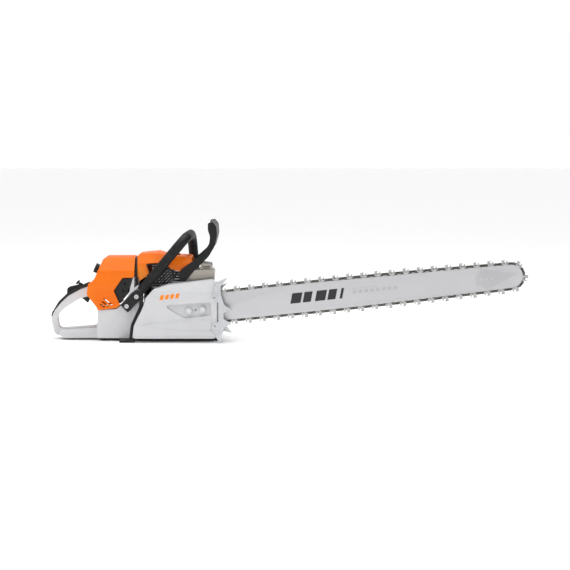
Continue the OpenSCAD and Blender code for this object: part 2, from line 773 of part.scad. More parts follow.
module bar_nose() {
    color("#d8d9db") bar_frame() {
        difference() {
            union() {
                for (s = [-1, 1]) intersection() {
                    slab(min(s * groove_w / 2, s * bar_t / 2), max(s * groove_w / 2, s * bar_t / 2))
                        polygon(bar_outline(0));
                    slab(-bar_t, bar_t) nose_zone(0);
                }
                slab(-groove_w / 2, groove_w / 2) difference() {
                    intersection() {
                        polygon(bar_outline(groove_depth));
                        nose_zone(0);
                    }
                    circle_at(nose_u, 0, nose_r - 4);
                }
                slab(-groove_w / 2, groove_w / 2) circle_at(nose_u, 0, 7);
            }
        }
        for (u = rivet_u) translate([u, 0, 0]) rotate([90, 0, 0])
            translate([0, 0, -bar_t / 2 - 0.4]) cylinder(h = bar_t + 0.8, r = 3);
    }
}

nose_teeth = 12;

module nose_sprocket() {
    color("#8c8e91") bar_frame() translate([nose_u, 0, 0]) difference() {
        slab(-0.8, 0.8) difference() {
            circle_at(0, 0, 26.5);
            for (k = [0:nose_teeth - 1]) rotate(k * 360 / nose_teeth + 15) circle_at(26.5, 0, 4);
        }
        cross_cyl(0, 0, 7 + fit, -3, 3);
    }
}

// ---------------------------------------------------------------- chain
// A point of the chain's joint line, at distance s along the loop
function on_loop(s0) = let (
    s = s0 % loop_len,
    top = entry_len,
    far = top + rail_len,
    back = far + nose_len,
    low = back + rail_len,
    rim = low + entry_len)
    s < top ? rim_r * [cos(leave_deg), sin(leave_deg)]
        + s * unit(entry - rim_r * [cos(leave_deg), sin(leave_deg)])
    : s < far ? let (u = rail_start_u + s - top) [u, rail_v(u) + rail_off]
    : s < back ? let (a = 90 - 180 * (s - far) / nose_len) [nose_u, 0] + nose_pitch_r * [cos(a), sin(a)]
    : s < low ? let (u = nose_u - s + back) [u, -rail_v(u) - rail_off]
    : s < rim ? [entry[0], -entry[1]] + (s - low)
        * unit(rim_r * [cos(leave_deg), -sin(leave_deg)] - [entry[0], -entry[1]])
    : let (a = -leave_deg - (s - rim) / rim_r * 180 / PI) rim_r * [cos(a), sin(a)];

// Places a link between joints k and k + 1, its +X towards the direction of travel
module on_joint(k) {
    a = on_loop(k * pitch);
    b = on_loop((k + 1) * pitch);
    d = b - a;
    bar_frame() translate([(a[0] + b[0]) / 2, 0, (a[1] + b[1]) / 2])
        rotate([0, -atan2(d[1], d[0]), 0]) children();
}

half_pitch = pitch / 2;
link_t = 1.6;
plate_t = 1.5;
plate_y = link_t / 2 + 0.06;
rivet_r = 2.4;

module drive_link() {
    slab(-link_t / 2, link_t / 2) difference() {
        polygon([[-half_pitch - 3.6, 0], [-half_pitch - 2.6, 3.6], [half_pitch + 2.6, 3.6], [half_pitch + 3.6, 0],
            [half_pitch + 2.4, -3], [3.4, -4.6], [1.5, -8.4], [-1.6, -8.4], [-4.2, -4.2],
            [-half_pitch - 2.4, -3]]);
        for (s = [-1, 1]) circle_at(s * half_pitch, 0, rivet_r + 0.1, $fn = 24);
    }
}

module drive_links() {
    color("#5e5b58") for (k = [0:drive_count - 1]) on_joint(2 * k) drive_link();
}

// A plate between two rivets, on side s of the chain
module side_plate(s) {
    slab(min(s * plate_y, s * (plate_y + plate_t)), max(s * plate_y, s * (plate_y + plate_t)))
        polygon([[-half_pitch - 4, 0.6], [-half_pitch - 2.6, 4.4], [-2.6, 3.6], [2.6, 3.6],
            [half_pitch + 2.6, 4.4], [half_pitch + 4, 0.6], [half_pitch + 3, -2.9], [-half_pitch - 3, -2.9]]);
}

module rivets() {
    for (x = [-half_pitch, half_pitch]) translate([x, 0, 0]) rotate([90, 0, 0])
        translate([0, 0, -plate_y - plate_t - 0.3])
            cylinder(h = 2 * (plate_y + plate_t) + 0.6, r = rivet_r, $fn = 24);
}

module tie_straps() {
    color("#77736f") for (k = [0:drive_count - 1]) if (k % 2 == 1) on_joint(2 * k + 1) {
        side_plate(-1);
        side_plate(1);
        rivets();
    }
}

cutter_h = 12.4;

// A cutter: side plate with its depth gauge and gullet, and the chisel top
module cutter(s) {
    y0 = s * plate_y;
    y1 = s * (plate_y + plate_t);
    slab(min(y0, y1), max(y0, y1)) polygon([[-half_pitch - 4, 0.6], [-half_pitch - 4.6, 9.5], [-4.6, 10.6],
        [-0.4, 10.9], [-1.2, 5.6], [1.6, 4], [4.4, 5.4], [5.4, 10], [half_pitch + 2.4, 9.6],
        [half_pitch + 4, 0.6], [half_pitch + 3, -2.9], [-half_pitch - 3, -2.9]]);
    slab(min(y0, s * 4.9), max(y0, s * 4.9)) polygon([[-half_pitch - 4.6, 9.5], [-half_pitch - 4.2, 10.7],
        [0.4, cutter_h], [-0.2, 10.9]]);
}

module cutter_links() {
    color("#b0b1b4") for (k = [0:drive_count - 1]) if (k % 2 == 0) on_joint(2 * k + 1) {
        s = k % 4 == 0 ? -1 : 1;
        cutter(s);
        side_plate(-s);
        rivets();
    }
}

// ---------------------------------------------------------------- clutch and drive
module rim_sprocket() {
    color("#8f9195") bar_frame() difference() {
        union() {
            cross_cyl(0, 0, 16, -4.6, 4.6);
            for (y = [-4.6, 1.2]) slab(y, y + 3.4) difference() {
                circle_at(0, 0, 21.8);
                for (k = [0:7]) rotate(45 * k) circle_at(21.5, 0, 3);
            }
        }
        cross_cyl(0, 0, 12, -6, 6);
    }
}

module clutch_drum() {
    color("#777a7e") difference() {
        union() {
            cross_cyl(0, crank_z, 38, -71.5, -56.5);
            cross_cyl(0, crank_z, 12, -86, -71);
        }
        cross_cyl(0, crank_z, 35.5, -69.5, -56);
        cross_cyl(0, crank_z, 7 + fit, -90, -56);
        for (a = [0 : 60 : 300]) translate([0, 0, crank_z]) rotate([0, a, 0])
            cross_cyl(25, 0, 4, -75, -68);
    }
}

module clutch_hub() {
    color("#6d6f73") difference() {
        union() {
            cross_cyl(0, crank_z, 15, -68.5, -54);
            for (a = [0, 120, 240]) translate([0, 0, crank_z]) rotate([0, a, 0]) slab(-67, -58)
                intersection() {
                    difference() {
                        circle_at(0, 0, 34.4);
                        circle_at(0, 0, 23);
                    }
                    polygon([[0, 0], [60, -80], [60, 80]]);
                }
            for (a = [0, 120, 240]) translate([0, 0, crank_z]) rotate([0, a, 0]) box([12, -66, -4], [25, -59, 4]);
        }
        cross_cyl(0, crank_z, 7, -70, -52);
    }
}

module brake_band() {
    color("#55575b") difference() {
        cross_cyl(0, crank_z, 40.2, -67, -57.5);
        cross_cyl(0, crank_z, 38.8, -68, -56);
        box([28, -70, crank_z - 6], [60, -50, crank_z + 6]);
    }
    color("#55575b") for (z = [8, -10]) box([38.5, -66, crank_z + z], [43, -58.5, crank_z + z + 2]);
}

module oil_pump() {
    color("#8b8d90") difference() {
        union() {
            box([22, -60, 28], [50, case_y0, 50]);
            rod([22, -56, 40], [10, -56, 40], 3.5);
        }
        rod([49, -56, 40], [60, -56, 40], 2.5);
    }
}

module bar_studs() {
    color("#c8cacc") bar_frame() for (u = stud_u) cross_cyl(u, 0, 4.9, cover_face_y - bar_y - 5, 38);
}

recess_y = cover_face_y + 5;

module bar_nuts() {
    color("#e4e6e8") bar_frame() for (u = stud_u) difference() {
        union() {
            cross_cyl(u, 0, 12, recess_y - bar_y - 2.5, recess_y - bar_y);
            translate([u, recess_y - bar_y - 2, 0]) rotate([90, 0, 0]) cylinder(h = 9, r = 10, $fn = 6);
        }
        cross_cyl(u, 0, 4.9, -60, 0);
    }
}

screw_u = 87.2;

module tensioner_screw() {
    color("#3c3d40") bar_frame() difference() {
        union() {
            cross_cyl(screw_u, 21, 3.9, -2.4, 20);
            cross_cyl(screw_u, 0, 4, recess_y - bar_y - 1, recess_y - bar_y + 6);
        }
        translate([screw_u - 3, recess_y - bar_y - 2, -0.6]) cube([6, 2.4, 1.2]);
    }
}

// ---------------------------------------------------------------- sprocket cover and spikes
cover_side = [[-98, 12, 8], [148, 12, 12], [149, 166, 4], [142, 184, 4], [5, 169, 14], [-36, 156, 14],
    [-58, 131, 10], [-64, 108, 10], [-92, 50, 10]];
cover_front = [[-50, 6, 0], [-98, 6, 10], [cover_face_y, 22, 12], [cover_face_y, 150, 12], [-95, 192, 10],
    [-50, 192, 0]];
rim_y = case_y0 - 0.3;

module sprocket_cover() {
    color("#dcdcde") difference() {
        union() {
            difference() {
                moulded(cover_side, cover_front, -110, 160, cover_face_y, rim_y);
                intersection() {
                    slab(cover_face_y + wall, rim_y + 1) shape(inset(cover_side, wall));
                    bar_x(-110, 160) shape([[0, 9, 0], [-96, 9, 9], [cover_face_y + wall, 23, 10],
                        [cover_face_y + wall, 149, 10], [-93, 189, 8], [0, 189, 0]]);
                }
                box([-110, tank_y0 - 1, 0], [-78, rim_y + 1, 200]);
                // Mouth that the bar and chain come out of
                box([135, cover_face_y + 14, 34], [160, 0, 200]);
                // Room for the inner spike and for the guard's arm
                box([118, case_y0 - 5, 0], [160, 0, 200]);
                box([30, -61, 150], [160, 0, 200]);
            }
            // Floor of the nut recess, and the pad that clamps the bar
            slab(cover_face_y + 2, cover_face_y + 8) shape([[50, 66, 10], [138, 78, 6], [138, 124, 6],
                [-22, 114, 6]]);
            bar_frame() box([52, recess_y - bar_y, -14], [124, -bar_t / 2, 14]);
        }
        slab(cover_face_y - 1, recess_y) shape([[54, 72, 12], [131, 81, 8], [131, 119, 8], [-10, 110, 6]]);
        bar_frame() for (u = stud_u) cross_cyl(u, 0, 4.9, -40, 0);
        bar_frame() cross_cyl(screw_u, 0, 4, -40, 0);
        // The two rounded steps pressed along the lower half
        slab(cover_face_y - 1, cover_face_y + 1.2) polygon([[-66, 53], [132, 38], [132, 41], [-50, 57]]);
    }
}

outer_spike_y = cover_face_y - 3;

module outer_spike() {
    color("#cfd2d5") difference() {
        slab(outer_spike_y, cover_face_y) shape([[159, 2, 1.5], [165, 30, 8], [171, 46, 6], [192, 58, 1.5],
            [169, 70, 6], [167, 88, 6], [191, 99, 1.5], [170, 112, 8], [161, 140, 12], [160, 166, 8],
            [182, 193, 1.5], [147, 178, 5], [140, 166, 5], [133, 137, 3], [136, 126, 4], [148, 123, 4],
            [153, 117, 3], [153, 66, 3], [150, 61, 3], [139, 60, 3], [135, 54, 4], [133, 40, 4], [150, 10, 5]]);
        cross_cyl(142, 50, 3, -120, -100);
        cross_cyl(141, 133, 3, -120, -100);
    }
}

module inner_spike() {
    color("#b7babd") difference() {
        slab(case_y0 - 4, case_y0) shape([[124, 24, 4], [158, 14, 4], [164, 30, 6], [192, 22, 1.5],
            [172, 46, 8], [162, 66, 8], [162, 96, 8], [186, 108, 1.5], [164, 122, 8], [158, 150, 8],
            [180, 172, 1.5], [146, 160, 6], [140, 130, 4], [140, 60, 4], [124, 50, 4]]);
        cross_cyl(132, 38, 3, -60, -50);
    }
}

// ---------------------------------------------------------------- front handle, bracket and stay
handle_pts = [[-74, -74, 149], [56, -71, 303], [64, 122, 303], [86, 122, 26]];
handle_bend = 40;

module front_handle() {
    color("#1b1b1d") bent_rod(handle_pts, tube_r, handle_bend);
}

bracket_screws = [[-88, 131], [-117, 103]];

module handle_bracket() {
    color("#1d1d1f") difference() {
        slab(-67, tank_y0 - 0.2) shape([[-114, 84, 4], [-70, 129, 6], [-66, 142, 8], [-90, 152, 10],
            [-136, 107, 5]]);
        rod(handle_pts[0], handle_pts[1], tube_r + 0.1);
        rod(stay_pts[0], stay_pts[1], stay_r + 0.1);
    }
}

fan_screws = [[-60, 52], [-60, 132], [46, 134], [30, 48]];

module cover_screws() {
    color("#e2e4e6") {
        for (p = bracket_screws) translate([p[0], -67, p[1]]) socket_head(6.5, 3.5);
        for (p = fan_screws) translate([p[0], fan_face_y, p[1]]) mirror([0, 1, 0]) socket_head(5, 3);
    }
}

stay_r = 4.5;
stay_pts = [[-70, -75, 134], [-73, -78, 107], [-100, -83, 48], [-105, -83, 6]];

module lower_stay() {
    color("#19191b") {
        bent_rod(stay_pts, stay_r, 14, 12, 4);
        difference() {
            slab(-100, -62) shape([[-136, 0, 3], [-93, 0, 3], [-93, 7, 3], [-104, 9, 3], [-136, 8, 3]]);
            rod(stay_pts[2], stay_pts[3] - [0, 0, 2], stay_r + 0.4);
        }
    }
}

// ---------------------------------------------------------------- hand guard
guard_y0 = -58;
guard_y1 = 105;
guard_arm = [[36, 180, 9], [50, 173, 9], [86, 208, 12], [112, 230, 18], [142, 264, 22], [149, 316, 24],
    [134, 351, 6], [119, 347, 6], [128, 308, 18], [113, 274, 22], [84, 246, 16], [36, 200, 9]];

module hand_guard() {
    color("#1a1a1c") {
        union() {
                slab(guard_y0, guard_y0 + 7) shape(guard_arm);
                slab(guard_y1 - 7, guard_y1) shape(guard_arm);
                slab(guard_y0, guard_y1) shape([[133, 266, 3], [142, 264, 3], [149, 316, 24], [134, 351, 6],
                    [119, 347, 6], [136, 316, 24]]);
                for (y = [-10, 24, 58]) slab(y - 2, y + 2) shape([[128, 284, 2], [142, 270, 4], [148, 316, 24],
                    [134, 350, 6], [120, 347, 6], [130, 312, 16]]);
        }
        cross_cyl(guard_x, guard_z, 5 - fit, guard_y0 + 6, -45.5);
        cross_cyl(guard_x, guard_z, 5 - fit, 90.5, guard_y1 - 6);
    }
}

// ---------------------------------------------------------------- caps
fuel_cap_x = -150;
fuel_cap_z = 55;
oil_cap_x = 122;
oil_cap_z = 70;

module screw_cap(x, z, y) {
    color("#202124") difference() {
        union() {
            cross_cyl(x, z, 14 - fit, y - 4, y + 1);
            cross_cyl(x, z, 19, y + 0.4, y + 6);
            box([x - 17, y + 5, z - 3.5], [x + 17, y + 11, z + 3.5]);
        }
        for (a = [0 : 30 : 330]) translate([x, 0, z]) rotate([0, a, 0]) cross_cyl(20, 0, 2, y, y + 8);
    }
}

module fuel_cap() {
    screw_cap(fuel_cap_x, fuel_cap_z, tank_y1);
}

module oil_cap() {
    screw_cap(oil_cap_x, oil_cap_z, case_y1);
}

crankcase_right();
crankcase_left();
skid_guard();
engine_cylinder();
muffler();
muffler_deflector();
tank_housing();
rear_grip();
throttle_lockout();
throttle_trigger();
throttle_rod();
control_lever();
filter_cover();
cover_knob();
air_filter();
carburetor();
intake_boot();
adjuster_panel();
cylinder_shroud();
shroud_grille();
fan_housing();
flywheel();
ignition_coil();
spark_plug();
plug_boot();
starter_pulley();
rope_winding();
rewind_spring();
starter_rope();
starter_grip();
sprocket_cover();
bar_studs();
bar_nuts();
tensioner_screw();
outer_spike();
inner_spike();
front_handle();
handle_bracket();
cover_screws();
lower_stay();
heat_shield();
guide_bar();
bar_nose();
nose_sprocket();
drive_links();
tie_straps();
cutter_links();
clutch_drum();
rim_sprocket();
clutch_hub();
brake_band();
oil_pump();
hand_guard();
crankshaft();
connecting_rod();
piston();
main_bearings();
fuel_cap();
oil_cap();
decompression_valve();
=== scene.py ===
import json
import math

import bmesh
import bpy
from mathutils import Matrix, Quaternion, Vector


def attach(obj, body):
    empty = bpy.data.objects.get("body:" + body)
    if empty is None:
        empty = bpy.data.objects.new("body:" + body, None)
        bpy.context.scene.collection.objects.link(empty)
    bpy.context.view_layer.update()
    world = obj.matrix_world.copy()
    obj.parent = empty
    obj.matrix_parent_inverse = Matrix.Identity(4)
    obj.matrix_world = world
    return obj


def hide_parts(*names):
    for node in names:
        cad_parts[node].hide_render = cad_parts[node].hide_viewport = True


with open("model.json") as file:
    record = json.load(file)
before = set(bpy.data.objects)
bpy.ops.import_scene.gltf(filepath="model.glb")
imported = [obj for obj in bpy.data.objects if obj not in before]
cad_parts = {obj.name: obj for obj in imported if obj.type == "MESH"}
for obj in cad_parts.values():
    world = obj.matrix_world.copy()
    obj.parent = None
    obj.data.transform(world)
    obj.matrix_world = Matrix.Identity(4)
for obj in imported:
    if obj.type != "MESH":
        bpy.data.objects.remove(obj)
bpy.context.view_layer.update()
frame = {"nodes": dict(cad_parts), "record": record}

MM = 0.001
NODES = frame["nodes"]
BODY_OF = {
    node: body
    for body, nodes in frame["record"]["behaviour"]["bodies"].items()
    for node in nodes
}
SLOT_OF = {row["node"]: row["material_slot"] for row in frame["record"]["subparts"]}

# Places on the saw, in millimetres. X runs forward along the bar, Y to the saw's left, Z up.
CRANK_Z = 87
BAR_FACE_Y = -80.5
COVER_FACE_Y = -106
FAN_FACE_Y = 105
BAR_PITCH = math.radians(6)


# ------------------------------------------------------------------ materials
class Finish:
    """A procedural material: one Principled shader and the nodes that drive it."""

    def __init__(self, name, color, rough, metal=0.0):
        self.mat = bpy.data.materials.new(name)
        self.mat.use_nodes = True
        self.tree = self.mat.node_tree
        self.shader = self.tree.nodes["Principled BSDF"]
        self.shader.inputs["Base Color"].default_value = (*color, 1)
        self.shader.inputs["Roughness"].default_value = rough
        self.shader.inputs["Metallic"].default_value = metal
        self.color = color
        self.rough = rough
        self.coords = self.node("ShaderNodeTexCoord").outputs["Object"]
        self.color_out = None

    def node(self, kind, **settings):
        made = self.tree.nodes.new(kind)
        for key, value in settings.items():
            setattr(made, key, value)
        return made

    def link(self, a, b):
        self.tree.links.new(a, b)

    def noise(self, scale, detail=3.0, rough=0.55, stretch=None):
        """A noise with about scale grains to the metre; stretch scales it along each axis."""
        tex = self.node("ShaderNodeTexNoise")
        tex.inputs["Scale"].default_value = scale
        tex.inputs["Detail"].default_value = detail
        tex.inputs["Roughness"].default_value = rough
        source = self.coords
        if stretch:
            mapping = self.node("ShaderNodeMapping")
            mapping.inputs["Scale"].default_value = stretch
            self.link(self.coords, mapping.inputs["Vector"])
            source = mapping.outputs["Vector"]
        self.link(source, tex.inputs["Vector"])
        return tex.outputs["Fac"]

    def spread(self, value, low, high, out_low, out_high):
        """Maps low..high to out_low..out_high."""
        made = self.node("ShaderNodeMapRange")
        made.inputs["From Min"].default_value = low
        made.inputs["From Max"].default_value = high
        made.inputs["To Min"].default_value = out_low
        made.inputs["To Max"].default_value = out_high
        self.link(value, made.inputs["Value"])
        return made.outputs["Result"]

    def mix(self, mask, other):
        """Mixes another colour over what is there, by a mask."""
        made = self.node("ShaderNodeMix", data_type="RGBA")
        self.link(mask, made.inputs["Factor"])
        if self.color_out:
            self.link(self.color_out, made.inputs["A"])
        else:
            made.inputs["A"].default_value = (*self.color, 1)
        made.inputs["B"].default_value = (*other, 1)
        self.color_out = made.outputs["Result"]
        self.link(self.color_out, self.shader.inputs["Base Color"])

    def stain(self, color, scale, detail, low, high, amount):
        """Patches of a colour, which rise to amount where the noise goes from low to high."""
        self.mix(self.spread(self.noise(scale, detail), low, high, 0, amount), color)

    def wear_edges(self, color, low=0.52, high=0.60):
        """A colour on outer edges: none at pointiness low, all of it at high."""
        edges = self.node("ShaderNodeNewGeometry").outputs["Pointiness"]
        self.mix(self.spread(edges, low, high, 0, 1), color)

    def vary_rough(self, scale, amount, stretch=None):
        """Patches that are rougher or smoother than the finish by up to amount."""
        tex = self.noise(scale, detail=4.0, rough=0.6, stretch=stretch)
        out = self.spread(tex, 0.3, 0.7, self.rough - amount, self.rough + amount)
        self.link(out, self.shader.inputs["Roughness"])

    def bump(self, scale, depth, strength, stretch=None):
        """A grain of the given depth in metres, added to any bump that is there."""
        made = self.node("ShaderNodeBump")
        made.inputs["Strength"].default_value = strength
        made.inputs["Distance"].default_value = depth
        self.link(self.noise(scale, stretch=stretch), made.inputs["Height"])
        normal = self.shader.inputs["Normal"]
        if normal.links:
            self.link(normal.links[0].from_socket, made.inputs["Normal"])
        self.link(made.outputs["Normal"], normal)

    def set_specular(self, level):
        self.shader.inputs["Specular IOR Level"].default_value = level


def moulded_plastic(name, color, rough, wear, dirt, grain=0.00006, gloss=0.5):
    """Moulded plastic: fine grain of the given depth in metres, scuffed edges, faint dirt."""
    finish = Finish(name, color, rough)
    finish.set_specular(gloss)
    finish.stain(dirt, scale=14, detail=5, low=0.42, high=0.72, amount=0.30)
    finish.stain(dirt, scale=90, detail=4, low=0.52, high=0.70, amount=0.18)
    finish.wear_edges(wear)
    finish.vary_rough(scale=45, amount=0.06)
    finish.bump(scale=2600, depth=grain, strength=0.35)
    # Long shallow waves, as a moulding has on its flats
    finish.bump(scale=60, depth=0.0004, strength=0.06)
    return finish.mat


def rubber(name, color, rough, dust=(0.035, 0.035, 0.035), wear=(0.06, 0.06, 0.06)):
    """A dull surface with a fine nap: rubber, cord or fleece."""
    finish = Finish(name, color, rough)
    finish.set_specular(0.25)
    finish.stain(dust, scale=60, detail=5, low=0.5, high=0.75, amount=0.5)
    finish.wear_edges(wear, low=0.53, high=0.62)
    finish.vary_rough(scale=120, amount=0.08)
    finish.bump(scale=1900, depth=0.00012, strength=0.5)
    return finish.mat


def metal(name, color, rough, wear, grain, stretch=None, dark=(0.2, 0.2, 0.2), grime=0.2):
    """Bare metal with a drawn or cast grain, grime in it and bright edges. Here grain is
    the number of grains to the metre."""
    finish = Finish(name, color, rough, metal=1.0)
    finish.stain(dark, scale=30, detail=6, low=0.45, high=0.75, amount=grime)
    finish.wear_edges(wear, low=0.52, high=0.59)
    finish.vary_rough(scale=grain, amount=0.08, stretch=stretch)
    finish.bump(scale=grain, depth=0.00008, strength=0.25, stretch=stretch)
    return finish.mat


FINISHES = {
    "housing_grey": (moulded_plastic, dict(
        color=(0.60, 0.605, 0.62), rough=0.36, wear=(0.72, 0.72, 0.73),
        dirt=(0.50, 0.50, 0.505), gloss=0.4)),
    "cover_orange": (moulded_plastic, dict(
        color=(0.86, 0.145, 0.0), rough=0.38, wear=(0.95, 0.26, 0.02),
        dirt=(0.74, 0.105, 0.0), gloss=0.22)),
    "black_plastic": (moulded_plastic, dict(
        color=(0.009, 0.009, 0.010), rough=0.40, wear=(0.035, 0.035, 0.037),
        dirt=(0.020, 0.019, 0.018), grain=0.0001, gloss=0.22)),
    "plug_ceramic": (moulded_plastic, dict(
        color=(0.83, 0.82, 0.79), rough=0.15, wear=(0.9, 0.9, 0.88),
        dirt=(0.7, 0.69, 0.66), grain=0.00002)),
    "black_rubber": (rubber, dict(
        color=(0.010, 0.010, 0.011), rough=0.52)),
    "cord_fibre": (rubber, dict(
        color=(0.72, 0.69, 0.60), rough=0.8,
        dust=(0.60, 0.56, 0.47), wear=(0.78, 0.75, 0.66))),
    "filter_fleece": (rubber, dict(
        color=(0.60, 0.56, 0.46), rough=0.9,
        dust=(0.46, 0.42, 0.33), wear=(0.66, 0.62, 0.52))),
    "case_metal": (metal, dict(
        color=(0.34, 0.34, 0.35), rough=0.5, wear=(0.5, 0.5, 0.5), grain=700)),
    "cast_aluminium": (metal, dict(
        color=(0.52, 0.52, 0.53), rough=0.42, wear=(0.7, 0.7, 0.7), grain=900)),
    "muffler_metal": (metal, dict(
        color=(0.34, 0.31, 0.275), rough=0.36, wear=(0.5, 0.47, 0.42),
        grain=300, stretch=(1, 1, 6), dark=(0.14, 0.10, 0.07), grime=0.5)),
    "machined_steel": (metal, dict(
        color=(0.42, 0.42, 0.44), rough=0.26, wear=(0.65, 0.65, 0.65),
        grain=900, stretch=(1, 8, 1))),
    "bar_steel": (metal, dict(
        color=(0.50, 0.50, 0.515), rough=0.36, wear=(0.7, 0.7, 0.71),
        grain=220, stretch=(0.15, 1, 6), dark=(0.40, 0.40, 0.41), grime=0.25)),
    "chain_steel": (metal, dict(
        color=(0.060, 0.055, 0.050), rough=0.38, wear=(0.22, 0.21, 0.20),
        grain=800, dark=(0.02, 0.018, 0.016), grime=0.6)),
    "cutter_chrome": (metal, dict(
        color=(0.11, 0.105, 0.10), rough=0.26, wear=(0.45, 0.45, 0.45),
        grain=900, dark=(0.04, 0.036, 0.032), grime=0.6)),
    "zinc_plate": (metal, dict(
        color=(0.46, 0.47, 0.49), rough=0.30, wear=(0.70, 0.71, 0.72),
        grain=240, dark=(0.30, 0.31, 0.33), grime=0.8)),
    "spring_steel": (metal, dict(
        color=(0.12, 0.125, 0.135), rough=0.32, wear=(0.35, 0.35, 0.35), grain=700)),
}
MATERIALS = {slot: kind(slot, **looks) for slot, (kind, looks) in FINISHES.items()}

for node_name, node_object in NODES.items():
    node_object.data.materials.clear()
    node_object.data.materials.append(MATERIALS[SLOT_OF[node_name]])


# ------------------------------------------------------------------ objects
def new_object(name, mesh):
    obj = bpy.data.objects.new(name, mesh)
    bpy.context.scene.collection.objects.link(obj)
    return obj


def place(obj, body, slot, replaced=()):
    """Rides a finished piece on its body and gives it its slot's finish."""
    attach(obj, body)
    if not obj.data.materials:
        obj.data.materials.append(MATERIALS[slot])
    if replaced:
        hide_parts(*replaced)


def smooth_by_angle(mesh, degrees):
    """Shades a mesh smooth, apart from the edges that are sharper than an angle."""
    mesh.polygons.foreach_set("use_smooth", [True] * len(mesh.polygons))
    mesh.set_sharp_from_angle(angle=math.radians(degrees))


def round_edges(obj, width_mm, segments, degrees):
    """Rounds the edges of a piece that are sharper than an angle."""
    bevel = obj.modifiers.new("round", "BEVEL")
    bevel.width = width_mm * MM
    bevel.segments = segments
    bevel.limit_method = "ANGLE"
    bevel.angle_limit = math.radians(degrees)
    bevel.harden_normals = True


# ------------------------------------------------------------------ CAD pieces with round edges
# Edge radius in millimetres. The front handle and the hand guard have shapes of their own below.
EDGE_MM = {
    "filter_cover": 2.5, "cylinder_shroud": 2.0, "sprocket_cover": 2.0, "tank_housing": 2.2,
    "fan_housing": 2.5, "rear_grip": 2.2, "throttle_lockout": 1.5, "throttle_trigger": 1.5,
    "control_lever": 0.8, "muffler": 1.0, "muffler_deflector": 0.6, "shroud_grille": 0.7,
    "adjuster_panel": 1.0, "handle_bracket": 1.2, "skid_guard": 1.0, "outer_spike": 0.5,
    "inner_spike": 0.5, "cover_knob": 0.6, "cover_screws": 0.4, "bar_nuts": 0.7,
    "starter_grip": 1.0, "fuel_cap": 0.8, "oil_cap": 0.8, "guide_bar": 0.35, "bar_nose": 0.25,
    "engine_cylinder": 0.4, "crankcase_right": 1.0, "crankcase_left": 1.0, "heat_shield": 0.8,
    "drive_links": 0.2, "tie_straps": 0.25, "cutter_links": 0.22, "lower_stay": 0.8,
    "decompression_valve": 0.6, "flywheel": 0.5, "carburetor": 0.6, "ignition_coil": 0.8,
}
# Pieces whose rounded edges run out into folds of no area, which a weld clears
FOLDED_EDGES = ("bar_nose", "cover_knob", "rear_grip", "skid_guard")
# Corners this close in metres are one; faces that meet at less than the first angle are
# flat, and edges above the second are sharp
WELD_M = 2e-6
FLAT_DEG = 0.8
SHARP_DEG = 32


def tidy(mesh):
    """Joins split corners and clears the flat triangles of a CAD mesh."""
    bm = bmesh.new()
    bm.from_mesh(mesh)
    bmesh.ops.remove_doubles(bm, verts=bm.verts, dist=WELD_M)
    bmesh.ops.dissolve_limit(
        bm, angle_limit=math.radians(FLAT_DEG), verts=bm.verts, edges=bm.edges)
    bm.to_mesh(mesh)
    bm.free()
    mesh.update()


def add_rounded_copy(node, width_mm):
    """The CAD node with its sharp edges rounded over, in its place."""
    mesh = NODES[node].data.copy()
    obj = new_object(node + "_shell", mesh)
    tidy(mesh)
    smooth_by_angle(mesh, SHARP_DEG)
    round_edges(obj, width_mm, segments=2, degrees=SHARP_DEG)
    if node in FOLDED_EDGES:
        obj.modifiers.new("weld", "WELD").merge_threshold = WELD_M
    place(obj, BODY_OF[node], SLOT_OF[node], [node])


for node_name, edge_mm in EDGE_MM.items():
    add_rounded_copy(node_name, edge_mm)


# ------------------------------------------------------------------ swept and flat pieces
def finished(name, bm, degrees=35):
    """Turns a bmesh into an object that is smooth but for edges sharper than an angle."""
    mesh = bpy.data.meshes.new(name)
    bmesh.ops.recalc_face_normals(bm, faces=bm.faces)
    bm.to_mesh(mesh)
    bm.free()
    obj = new_object(name, mesh)
    smooth_by_angle(mesh, degrees)
    return obj


def join_loops(bm, lower, upper):
    """A wall of four-sided faces between two closed loops of corners."""
    count = len(lower)
    for k in range(count):
        n = (k + 1) % count
        bm.faces.new((lower[k], lower[n], upper[n], upper[k]))


def add_prism(bm, low_points, high_points):
    """A solid between two matching outlines."""
    low = [bm.verts.new(p) for p in low_points]
    high = [bm.verts.new(p) for p in high_points]
    bm.faces.new(low)
    bm.faces.new(high)
    join_loops(bm, low, high)


def corner_arc(before, corner, after, radius, steps):
    """The arc that rounds a corner, as points from its first side to its second."""
    u = (before - corner).normalized()
    v = (after - corner).normalized()
    half = u.angle(v) / 2
    middle = corner + (u + v).normalized() * radius / math.sin(half)
    start = corner + u * radius / math.tan(half) - middle
    end = corner + v * radius / math.tan(half) - middle
    axis = start.cross(end).normalized()
    turn = start.angle(end)
    return [middle + Quaternion(axis, turn * (i / steps)) @ start for i in range(steps + 1)]


def circle(sides):
    """Cosine and sine of evenly spaced angles."""
    angles = [2 * math.pi * k / sides for k in range(sides)]
    return [(math.cos(a), math.sin(a)) for a in angles]


def resample(path, gap):
    """Points about gap apart along a route."""
    out = [path[0]]
    for a, b in zip(path, path[1:]):
        n = max(1, round((b - a).length / gap))
        out += [a.lerp(b, i / n) for i in range(1, n + 1)]
    return out


